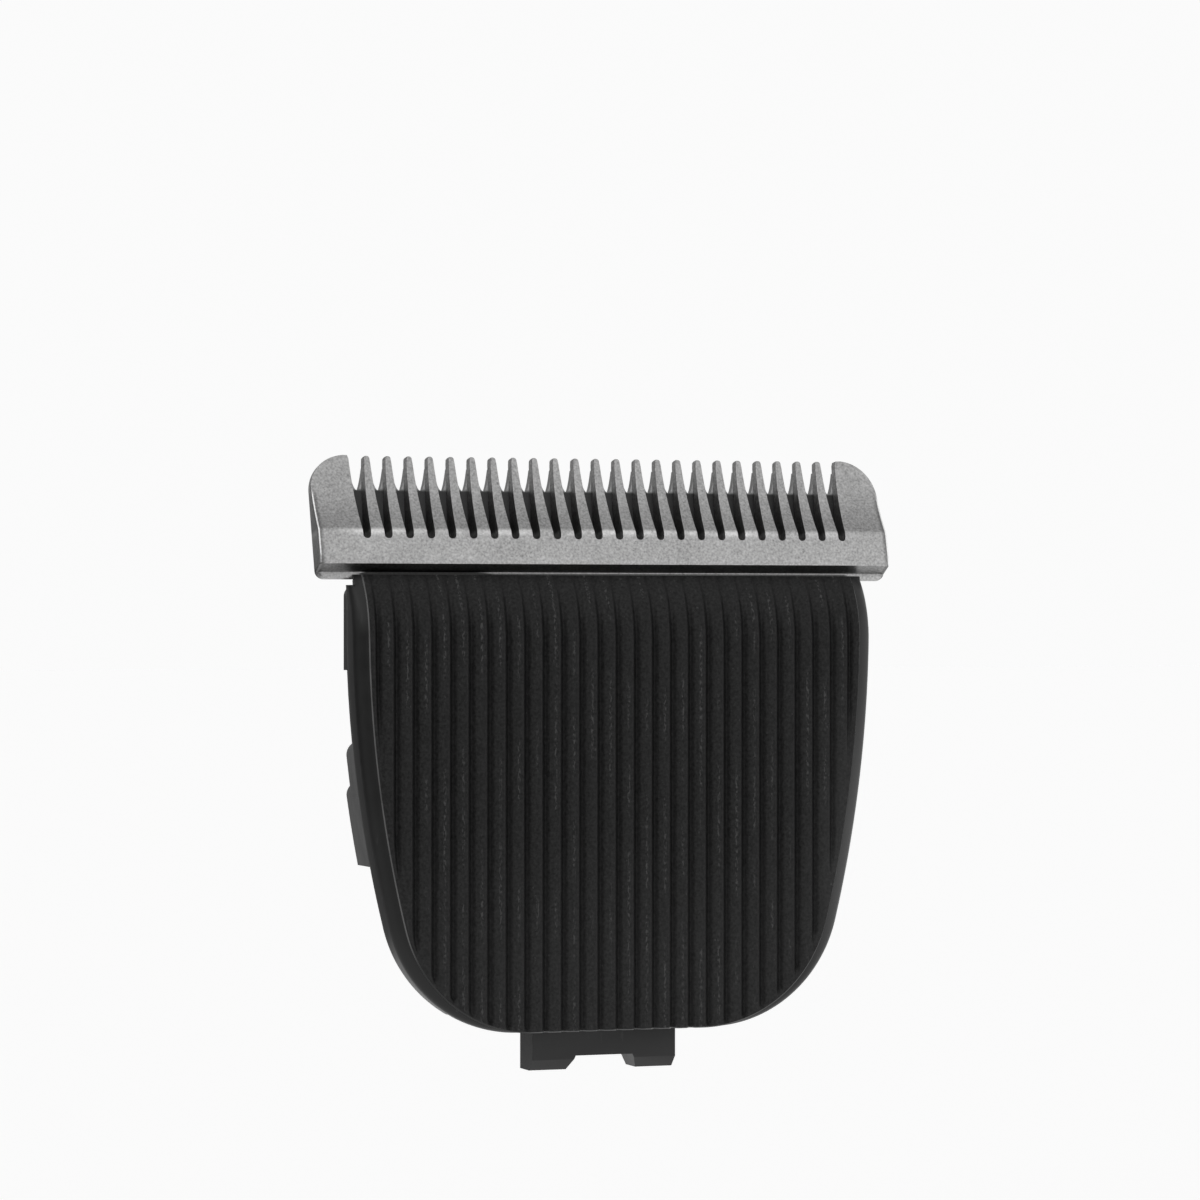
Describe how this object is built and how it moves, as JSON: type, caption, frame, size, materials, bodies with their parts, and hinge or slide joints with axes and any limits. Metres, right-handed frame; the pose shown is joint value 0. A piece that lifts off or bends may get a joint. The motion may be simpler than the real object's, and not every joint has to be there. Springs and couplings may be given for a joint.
{
  "type": "hair clipper blade",
  "caption": "Clip-on hair clipper head: toothed steel comb over a sliding steel cutter, on a plastic frame with a lower hook, behind a ribbed black cover.",
  "frame": {"origin": "on the frame's flat rear rim, in the middle of its lower web, which bears on the clipper's body", "axes": "+Z from the hook up to the tooth tips, +X along the row of teeth, +Y out of the rear rim, so that the ribbed cover faces -Y"},
  "size_m": [0.0442, 0.007, 0.0446],
  "materials": {
    "comb_steel": "ground, with the grain along the blade",
    "cutter_steel": "fine ground",
    "cover_plastic": "black, matte on the ribs and glossier on the rounded border",
    "frame_plastic": "black, satin",
    "driver_plastic": "off-white acetal, satin",
    "spring_steel": "rolled spring steel",
    "fastener_steel": "plain bright steel"
  },
  "bodies": {
    "head": {"fixed_blade": "comb_steel", "front_cover": "cover_plastic", "rear_frame": "frame_plastic", "pressure_spring": "spring_steel", "spring_screws": "fastener_steel", "blade_screws": "fastener_steel", "cover_screws": "fastener_steel"},
    "cutter": {"moving_blade": "cutter_steel", "cutter_driver": "driver_plastic", "driver_rivets": "fastener_steel"}
  },
  "joints": [
    {"name": "cutter_stroke", "type": "slide", "parent": "head", "child": "cutter", "axis": [1, 0, 0], "range_m": [-0.0012, 0.0012]}
  ]
}
